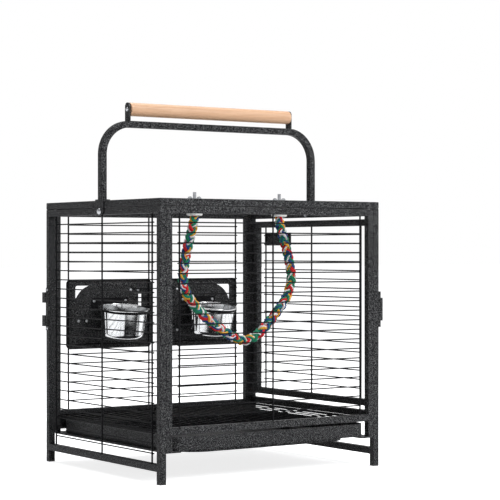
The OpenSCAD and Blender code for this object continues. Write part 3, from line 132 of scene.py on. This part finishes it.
# Floor grate: radii and sides of its wires, depth of the welds, bend of the border's corners, pitch of the
# close wires and places of the ribs
BORDER_RADIUS = 2.0 * MM
BORDER_SIDES = 12
WIRE_RADIUS = 1.1 * MM
WIRE_SIDES = 10
WELD_DEPTH = 0.3 * MM
BORDER_BEND = 9.0 * MM
BEND_STEPS = 6
WIRE_PITCH = 17.5 * MM
RIB_SHARES = (0.25, 0.5, 0.75)

# Points in each span of a smooth curve, the least length that is divided by, and how nearly a tube has to
# start along y for its rings to start from x
CURVE_POINTS = 20
TINY = 1e-9
ALONG_Y = 0.9


def new_material(name):
    """Material, its node tree and its only shader."""
    material = bpy.data.materials.new(name)
    material.use_nodes = True
    tree = material.node_tree
    tree.nodes.clear()
    output = tree.nodes.new("ShaderNodeOutputMaterial")
    shader = tree.nodes.new("ShaderNodeBsdfPrincipled")
    tree.links.new(shader.outputs["BSDF"], output.inputs["Surface"])
    return material, tree, shader


def position(tree, scale=(1.0, 1.0, 1.0)):
    """Object coordinates in metres, stretched by scale."""
    coords = tree.nodes.new("ShaderNodeTexCoord")
    mapping = tree.nodes.new("ShaderNodeMapping")
    mapping.inputs["Scale"].default_value = scale
    tree.links.new(coords.outputs["Object"], mapping.inputs["Vector"])
    return mapping.outputs["Vector"]


def split(tree, vector):
    """Outputs X, Y and Z of a vector."""
    node = tree.nodes.new("ShaderNodeSeparateXYZ")
    tree.links.new(vector, node.inputs["Vector"])
    return node.outputs


def noise(tree, vector, scale, detail, rough):
    node = tree.nodes.new("ShaderNodeTexNoise")
    node.inputs["Scale"].default_value = scale
    node.inputs["Detail"].default_value = detail
    node.inputs["Roughness"].default_value = rough
    tree.links.new(vector, node.inputs["Vector"])
    return node.outputs["Fac"]


def cells(tree, vector, scale):
    """Distance from the middle of soft-edged cells."""
    node = tree.nodes.new("ShaderNodeTexVoronoi")
    node.feature = "SMOOTH_F1"
    node.inputs["Scale"].default_value = scale
    tree.links.new(vector, node.inputs["Vector"])
    return node.outputs["Distance"]


def ramp(tree, value, stops):
    """Colour ramp through (position, colour) stops."""
    node = tree.nodes.new("ShaderNodeValToRGB")
    elements = node.color_ramp.elements
    while len(elements) < len(stops):
        elements.new(0.5)
    for element, (place, colour) in zip(elements, stops):
        element.position = place
        element.color = (*colour, 1.0)
    tree.links.new(value, node.inputs["Fac"])
    return node.outputs["Color"]


def remap(tree, value, given, wanted):
    """Maps the range given to the range wanted, and holds its ends beyond it."""
    node = tree.nodes.new("ShaderNodeMapRange")
    for name, number in zip(("From Min", "From Max", "To Min", "To Max"), (*given, *wanted)):
        node.inputs[name].default_value = number
    tree.links.new(value, node.inputs["Value"])
    return node.outputs["Result"]


def blend(tree, factor, colour, other):
    """From a linked colour to a plain one as factor goes from 0 to 1."""
    node = tree.nodes.new("ShaderNodeMix")
    node.data_type = "RGBA"
    node.inputs["B"].default_value = other
    tree.links.new(factor, node.inputs["Factor"])
    tree.links.new(colour, node.inputs["A"])
    return node.outputs["Result"]


def bump(tree, shader, height, strength, distance, below=None):
    """Bump on the shader, on top of another bump where one is given."""
    node = tree.nodes.new("ShaderNodeBump")
    node.inputs["Strength"].default_value = strength
    node.inputs["Distance"].default_value = distance
    tree.links.new(height, node.inputs["Height"])
    if below is not None:
        tree.links.new(below, node.inputs["Normal"])
    tree.links.new(node.outputs["Normal"], shader.inputs["Normal"])
    return node.outputs["Normal"]


def hammertone():
    """Black hammertone powder coat: dimpled, with fine light flecks in a charcoal ground."""
    material, tree, shader = new_material("black_hammertone")
    place = position(tree)
    flecks = noise(tree, place, scale=940.0, detail=2.0, rough=0.62)
    cloud = noise(tree, place, scale=380.0, detail=2.0, rough=0.5)
    mix = tree.nodes.new("ShaderNodeMath")
    mix.operation = "MULTIPLY_ADD"
    fleck_share = 0.86
    mix.inputs[1].default_value = fleck_share
    tree.links.new(flecks, mix.inputs[0])
    tree.links.new(remap(tree, cloud, (0.0, 1.0), (0.0, 1.0 - fleck_share)), mix.inputs[2])
    colour = ramp(tree, mix.outputs["Value"], [
        (0.40, (0.002, 0.002, 0.003)), (0.49, (0.007, 0.007, 0.008)),
        (0.56, (0.058, 0.059, 0.060)), (0.66, (0.27, 0.272, 0.276)),
    ])
    tree.links.new(colour, shader.inputs["Base Color"])
    dimples = cells(tree, place, scale=420.0)
    first = bump(tree, shader, dimples, strength=0.35, distance=0.0006)
    bump(tree, shader, flecks, strength=0.25, distance=0.0002, below=first)
    tree.links.new(remap(tree, flecks, (0.3, 0.7), (0.5, 0.34)), shader.inputs["Roughness"])
    shader.inputs["Specular IOR Level"].default_value = 0.06
    return material


def wire_coat():
    """The same coat on thin wire, where the dimples are too fine to see."""
    material, tree, shader = new_material("black_wire_coat")
    mottle = noise(tree, position(tree), scale=700.0, detail=2.0, rough=0.6)
    colour = ramp(tree, mottle, [
        (0.35, (0.005, 0.005, 0.006)), (0.55, (0.011, 0.011, 0.012)), (0.72, (0.040, 0.041, 0.043)),
    ])
    tree.links.new(colour, shader.inputs["Base Color"])
    bump(tree, shader, mottle, strength=0.2, distance=0.0001)
    tree.links.new(remap(tree, mottle, (0.3, 0.7), (0.48, 0.36)), shader.inputs["Roughness"])
    shader.inputs["Specular IOR Level"].default_value = 0.04
    return material


def zinc():
    """Zinc plate: pale metal with cloudy patches."""
    material, tree, shader = new_material("zinc_plate")
    cloud = noise(tree, position(tree), scale=320.0, detail=4.0, rough=0.6)
    colour = ramp(tree, cloud, [(0.3, (0.30, 0.31, 0.33)), (0.7, (0.50, 0.51, 0.53))])
    tree.links.new(colour, shader.inputs["Base Color"])
    tree.links.new(remap(tree, cloud, (0.3, 0.7), (0.38, 0.24)), shader.inputs["Roughness"])
    shader.inputs["Metallic"].default_value = 1.0
    bump(tree, shader, cloud, strength=0.12, distance=0.0001)
    return material


def polished_steel():
    """Spun and polished steel, with the finest rings left by spinning."""
    material, tree, shader = new_material("polished_steel")
    level_rings = (0.02, 0.02, 1.0)
    rings = noise(tree, position(tree, level_rings), scale=2600.0, detail=1.0, rough=0.5)
    haze = noise(tree, position(tree), scale=45.0, detail=3.0, rough=0.5)
    shader.inputs["Base Color"].default_value = (0.60, 0.61, 0.62, 1.0)
    shader.inputs["Metallic"].default_value = 1.0
    tree.links.new(remap(tree, haze, (0.3, 0.7), (0.07, 0.16)), shader.inputs["Roughness"])
    bump(tree, shader, rings, strength=0.05, distance=0.00004)
    return material


def beech():
    """Sanded beech: pale pinkish tan, straight grain and the short dark flecks of its rays."""
    material, tree, shader = new_material("beech")
    along_grip = (2.0, 42.0, 42.0)
    ray_flecks = (9.0, 160.0, 160.0)
    ray_colour = (0.42, 0.22, 0.11, 1.0)
    grain = noise(tree, position(tree, along_grip), scale=9.0, detail=4.0, rough=0.55)
    base = ramp(tree, grain, [
        (0.30, (0.60, 0.345, 0.200)), (0.50, (0.66, 0.400, 0.238)), (0.72, (0.71, 0.450, 0.280)),
    ])
    flecks = noise(tree, position(tree, ray_flecks), scale=9.0, detail=2.0, rough=0.5)
    darker = remap(tree, flecks, (0.60, 0.72), (0.0, 0.32))
    tree.links.new(blend(tree, darker, base, ray_colour), shader.inputs["Base Color"])
    tree.links.new(remap(tree, grain, (0.3, 0.7), (0.52, 0.42)), shader.inputs["Roughness"])
    bump(tree, shader, flecks, strength=0.15, distance=0.0001)
    return material


def plastic(name, colour, rough, painted_shade_from=None):
    """Moulded plastic with a very fine texture, and painted shade, a plain near black, above a height where
    one is given.
    """
    material, tree, shader = new_material(name)
    grain = noise(tree, position(tree), scale=1400.0, detail=2.0, rough=0.5)
    # Slightly darker where the fine texture is low: painted shade in its hollows
    painted_hollow_shade = tuple(0.93 * c for c in colour)
    shade = ramp(tree, grain, [(0.3, painted_hollow_shade), (0.7, colour)])
    # Above the given height the colour turns to painted shade, for the shade on a perch cap's upper part
    if painted_shade_from is not None:
        height = split(tree, position(tree))["Z"]
        painted_shade = remap(tree, height, (painted_shade_from, painted_shade_from + CAP_EDGE), (0.0, 1.0))
        shade = blend(tree, painted_shade, shade, PAINTED_SHADE_COLOUR)
    tree.links.new(shade, shader.inputs["Base Color"])
    rough_spread = 0.05
    tree.links.new(remap(tree, grain, (0.3, 0.7), (rough + rough_spread, rough - rough_spread)),
                   shader.inputs["Roughness"])
    bump(tree, shader, grain, strength=0.1, distance=0.00005)
    return material


def yarn(name, colour):
    """Cotton yarn: fine plies that wind round it, with painted shade between them, and soft fuzz."""
    material, tree, shader = new_material("yarn_" + name)
    coords = tree.nodes.new("ShaderNodeUVMap")
    mapping = tree.nodes.new("ShaderNodeMapping")
    ply_angle = math.radians(38)
    mapping.inputs["Rotation"].default_value = (0.0, 0.0, ply_angle)
    mapping.inputs["Scale"].default_value = (3.0, 3.0, 1.0)
    tree.links.new(coords.outputs["UV"], mapping.inputs["Vector"])
    wave = tree.nodes.new("ShaderNodeTexWave")
    wave.bands_direction = "X"
    wave.inputs["Scale"].default_value = 0.55
    wave.inputs["Distortion"].default_value = 1.2
    wave.inputs["Detail"].default_value = 2.0
    tree.links.new(mapping.outputs["Vector"], wave.inputs["Vector"])
    plies = wave.outputs["Fac"]
    fuzz = noise(tree, position(tree), scale=2400.0, detail=2.0, rough=0.6)
    # Darker between the plies: painted shade in the grooves between them
    painted_ply_shade = tuple(0.8 * c for c in colour)
    tree.links.new(ramp(tree, plies, [(0.05, painted_ply_shade), (0.6, colour)]), shader.inputs["Base Color"])
    shader.inputs["Roughness"].default_value = 0.9
    shader.inputs["Sheen Weight"].default_value = 0.1
    first = bump(tree, shader, plies, strength=0.5, distance=0.0005)
    bump(tree, shader, fuzz, strength=0.25, distance=0.0003, below=first)
    return material


def paint(node, material):
    """Gives a frame node its finish."""
    for entry in frame["nodes"][node].material_slots:
        entry.material = material


def smooth_curve(points, step):
    """Points about step apart on a smooth curve through the given points, and the curve's length."""
    fine = []
    count = len(points)
    for i in range(count - 1):
        before = points[max(i - 1, 0)]
        start = points[i]
        end = points[i + 1]
        after = points[min(i + 2, count - 1)]
        for k in range(CURVE_POINTS):
            t = k / CURVE_POINTS
            fine.append(
                0.5 * ((2 * start) + (end - before) * t + (2 * before - 5 * start + 4 * end - after) * t * t
                       + (3 * start - before - 3 * end + after) * t ** 3))
    fine.append(points[-1])
    lengths = [0.0]
    for a, b in zip(fine, fine[1:]):
        lengths.append(lengths[-1] + (b - a).length)
    total = lengths[-1]
    count = round(total / step)
    result = []
    j = 0
    for k in range(count + 1):
        want = total * k / count
        while j < len(lengths) - 2 and lengths[j + 1] < want:
            j += 1
        part = (want - lengths[j]) / max(lengths[j + 1] - lengths[j], TINY)
        result.append(fine[j].lerp(fine[j + 1], part))
    return result, total


def heading(points, i):
    """Direction of a line of points at point i."""
    return (points[min(i + 1, len(points) - 1)] - points[max(i - 1, 0)]).normalized()


def add_tube(work, centres, radius, sides):
    """Closed tube along centres with a UV map: u round the tube and v along it, in its diameters."""
    uv = work.loops.layers.uv.verify()
    start = (centres[1] - centres[0]).normalized()
    side = Vector((1.0, 0.0, 0.0)) if abs(start.y) > ALONG_Y else Vector((0.0, 1.0, 0.0))
    rings = []
    for i, centre in enumerate(centres):
        ahead = heading(centres, i)
        side = (side - ahead * side.dot(ahead)).normalized()
        other = ahead.cross(side)
        ring = []
        for k in range(sides):
            angle = 2 * math.pi * k / sides
            ring.append(work.verts.new(
                centre + side * (radius * math.cos(angle)) + other * (radius * math.sin(angle))))
        rings.append(ring)
    run = 0.0
    for i in range(len(centres) - 1):
        after = run + (centres[i + 1] - centres[i]).length / (2 * radius)
        for k in range(sides):
            nxt = (k + 1) % sides
            face = work.faces.new((rings[i][k], rings[i][nxt], rings[i + 1][nxt], rings[i + 1][k]))
            for loop, (u, v) in zip(face.loops, ((k, run), (k + 1, run), (k + 1, after), (k, after))):
                loop[uv].uv = (u / sides * math.pi, v)
        run = after
    work.faces.new(list(reversed(rings[0])))
    work.faces.new(rings[-1])


def tube_piece(name, tubes, material, body):
    """New piece of closed tubes, each with its centres, radius and sides, riding on a body."""
    mesh = bpy.data.meshes.new(name)
    work = bmesh.new()
    for centres, radius, sides in tubes:
        add_tube(work, centres, radius, sides)
    work.to_mesh(mesh)
    work.free()
    piece = bpy.data.objects.new(name, mesh)
    bpy.context.scene.collection.objects.link(piece)
    mesh.materials.append(material)
    for face in mesh.polygons:
        face.use_smooth = True
    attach(piece, body)
    return piece


def yarn_centres(centre_line, total, way, phase, place):
    """Centres of a yarn, which starts at the angle place in its strand, as that does at phase in the rope."""
    across = Vector((0.0, 1.0, 0.0))
    centres = []
    for i, point in enumerate(centre_line):
        run = i * total / (len(centre_line) - 1)
        normal = across.cross(heading(centre_line, i)).normalized()
        turn = 2 * math.pi * run / BRAID_LAY
        eased = turn + BRAID_DWELL * way * math.cos(2 * turn)
        angle = way * eased + phase + BRAID_SWING * math.cos(math.pi * run / total)
        from_end = min(run, total - run) / (ROPE_SOCKET * MM)
        grown = min(max(from_end - SOCKET_HELD, 0.0), 1.0)
        size = SOCKET_SHARE + (1 - SOCKET_SHARE) * grown
        ring = BRAID_RING + BRAID_WEAVE * way * math.sin(2 * turn)
        out = normal * math.cos(angle) + across * math.sin(angle)
        round_it = across * math.cos(angle) - normal * math.sin(angle)
        inner = 2 * math.pi * run / YARN_TWIST + place
        centres.append(point + size * (out * (ring + YARN_HALF_DEPTH * math.cos(inner))
                                       + round_it * (YARN_HALF_WIDTH * math.sin(inner))))
    return centres


def rope():
    """Round braid of four strands: two wind one way and two the other, over and under, each of four yarns."""
    low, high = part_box("rope_perch")
    middle_y = (low[1] + high[1]) / 2
    points = [
        Vector((share * ROPE_HALF_SPAN * MM, middle_y, high[2] - depth * MM)) for share, depth in ROPE_ROUTE
    ]
    centre_line, total = smooth_curve(points, ROPE_STEP)
    tubes = {}
    for number, (way, phase, names) in enumerate(STRANDS):
        for index, name in enumerate(names):
            place = 2 * math.pi * index / len(names) + number
            centres = yarn_centres(centre_line, total, way, phase, place)
            tubes.setdefault(name, []).append((centres, YARN_RADIUS, YARN_SIDES))
    for name, alike in tubes.items():
        finish = yarn(name, YARN_COLOURS[name])
        tube_piece("rope_yarns_" + name, alike, finish, "cage")
    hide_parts("rope_perch")


def grate(material):
    """Floor grate with its close wires from front to back, on cross ribs inside a bent border wire."""
    low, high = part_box("floor_grate")
    middle_z = low[2] + BORDER_RADIUS
    x0, x1 = low[0] + BORDER_RADIUS, high[0] - BORDER_RADIUS
    y0, y1 = low[1] + BORDER_RADIUS, high[1] - BORDER_RADIUS
    rib_z = low[2] + WIRE_RADIUS
    wire_z = rib_z + 2 * WIRE_RADIUS - WELD_DEPTH
    left, right = x0 + BORDER_BEND, x1 - BORDER_BEND
    front, back = y0 + BORDER_BEND, y1 - BORDER_BEND
    corners = ((right, front, 270), (right, back, 0), (left, back, 90), (left, front, 180))
    border = []
    for corner_x, corner_y, start in corners:
        for k in range(BEND_STEPS + 1):
            angle = math.radians(start + 90 * k / BEND_STEPS)
            x = corner_x + BORDER_BEND * math.cos(angle)
            y = corner_y + BORDER_BEND * math.sin(angle)
            border.append(Vector((x, y, middle_z)))
    border.append(border[0])
    tubes = [(border, BORDER_RADIUS, BORDER_SIDES)]
    gaps = round((x1 - x0) / WIRE_PITCH)
    for k in range(1, gaps):
        x = x0 + (x1 - x0) * k / gaps
        tubes.append(([Vector((x, y0, wire_z)), Vector((x, y1, wire_z))], WIRE_RADIUS, WIRE_SIDES))
    for share in RIB_SHARES:
        y = y0 + (y1 - y0) * share
        tubes.append(([Vector((x0, y, rib_z)), Vector((x1, y, rib_z))], WIRE_RADIUS, WIRE_SIDES))
    piece = tube_piece("grate_wires", tubes, material, "grate")
    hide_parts("floor_grate")


def seen_rays(tree):
    """1 for camera, glossy and transmission rays, which see the plain background, and 0 for the others."""
    rays = tree.nodes.new("ShaderNodeLightPath")
    total = rays.outputs["Is Camera Ray"]
    for name in ("Is Glossy Ray", "Is Transmission Ray"):
        most = tree.nodes.new("ShaderNodeMath")
        most.operation = "MAXIMUM"
        tree.links.new(total, most.inputs[0])
        tree.links.new(rays.outputs[name], most.inputs[1])
        total = most.outputs["Value"]
    return total


def by_seen_rays(tree, others, seen):
    """The shader seen for the rays of seen_rays, and the shader others for the rest."""
    mixer = tree.nodes.new("ShaderNodeMixShader")
    tree.links.new(seen_rays(tree), mixer.inputs["Fac"])
    tree.links.new(others, mixer.inputs[1])
    tree.links.new(seen, mixer.inputs[2])
    return mixer.outputs["Shader"]


def studio_world():
    """World that lights the object softly and shows a white background."""
    world = bpy.data.worlds.new("studio")
    bpy.context.scene.world = world
    world.use_nodes = True
    tree = world.node_tree
    tree.nodes.clear()
    output = tree.nodes.new("ShaderNodeOutputWorld")
    lit = tree.nodes.new("ShaderNodeBackground")
    seen = tree.nodes.new("ShaderNodeBackground")
    lit.inputs["Color"].default_value = LIT_COLOUR
    seen.inputs["Color"].default_value = WHITE
    way = split(tree, tree.nodes.new("ShaderNodeTexCoord").outputs["Generated"])
    tree.links.new(remap(tree, way["Z"], *SEEN_UPWARD), seen.inputs["Strength"])
    tree.links.new(remap(tree, way["X"], *LIT_ACROSS), lit.inputs["Strength"])
    both = by_seen_rays(tree, lit.outputs["Background"], seen.outputs["Background"])
    tree.links.new(both, output.inputs["Surface"])


def studio_floor():
    """Pale floor that takes the object's shadow and glows only for the rays that see the background."""
    mesh = bpy.data.meshes.new("floor")
    reach = FLOOR_REACH
    mesh.from_pydata([(-reach, -reach, 0), (reach, -reach, 0), (reach, reach, 0), (-reach, reach, 0)], [],
                     [(0, 1, 2, 3)])
    floor = bpy.data.objects.new("floor", mesh)
    bpy.context.scene.collection.objects.link(floor)
    material, tree, shader = new_material("floor_white")
    shader.inputs["Base Color"].default_value = FLOOR_COLOUR
    shader.inputs["Roughness"].default_value = FLOOR_ROUGH
    shader.inputs["Specular IOR Level"].default_value = 0.0
    output = shader.outputs["BSDF"].links[0].to_node
    glow = tree.nodes.new("ShaderNodeEmission")
    glow.inputs["Strength"].default_value = FLOOR_GLOW
    dark = tree.nodes.new("ShaderNodeEmission")
    dark.inputs["Strength"].default_value = 0.0
    both = tree.nodes.new("ShaderNodeAddShader")
    tree.links.new(shader.outputs["BSDF"], both.inputs[0])
    tree.links.new(by_seen_rays(tree, dark.outputs["Emission"], glow.outputs["Emission"]), both.inputs[1])
    tree.links.new(both.outputs["Shader"], output.inputs["Surface"])
    mesh.materials.append(material)


def studio_lamps():
    """The lamps of LAMPS, as rectangles."""
    for name, (place, aim, size, power) in LAMPS.items():
        data = bpy.data.lights.new(name, "AREA")
        data.shape = "RECTANGLE"
        data.size, data.size_y = size
        data.energy = power
        lamp = bpy.data.objects.new(name, data)
        lamp.location = place
        lamp.rotation_euler = (Vector(aim) - Vector(place)).to_track_quat("-Z", "Y").to_euler()
        bpy.context.scene.collection.objects.link(lamp)


def studio_camera():
    """The photograph's camera, level and without shift."""
    data = bpy.data.cameras.new("camera")
    data.sensor_width = SENSOR
    data.lens = FOCAL_PIXELS / FRAME_PIXELS * SENSOR
    data.clip_start = CLIP_NEAR
    data.clip_end = CLIP_FAR
    camera = bpy.data.objects.new("camera", data)
    camera.location = [c * MM for c in CAMERA_AT]
    camera.rotation_euler = (math.radians(90), 0.0, math.radians(CAMERA_HEADING))
    bpy.context.scene.collection.objects.link(camera)
    bpy.context.scene.camera = camera


bpy.context.scene.view_settings.view_transform = "Standard"
studio_world()
studio_floor()
studio_lamps()
studio_camera()

WIRE_COAT = wire_coat()
# The yarns stand in for the rope's tube, whose own finish is not seen
FINISHES = {
    "black_coat": hammertone(), "zinc": zinc(), "polished_steel": polished_steel(), "beech": beech(),
    "black_plastic": plastic("black_plastic", (0.012, 0.012, 0.013), 0.5),
    # The perch caps get painted shade on their upper part, from a height over their foot
    "white_plastic": plastic("perch_cap", CAP_WHITE, 0.4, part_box("perch_caps")[0][2] + CAP_SHADE_FROM),
    "rope": WIRE_COAT,
}
WIRE_NODES = ("grille", "grate", "cup_ring")

for part in frame["record"]["subparts"]:
    thin = part["material_slot"] == "black_coat" and part["node"].endswith(WIRE_NODES)
    paint(part["node"], WIRE_COAT if thin else FINISHES[part["material_slot"]])

rope()
grate(WIRE_COAT)
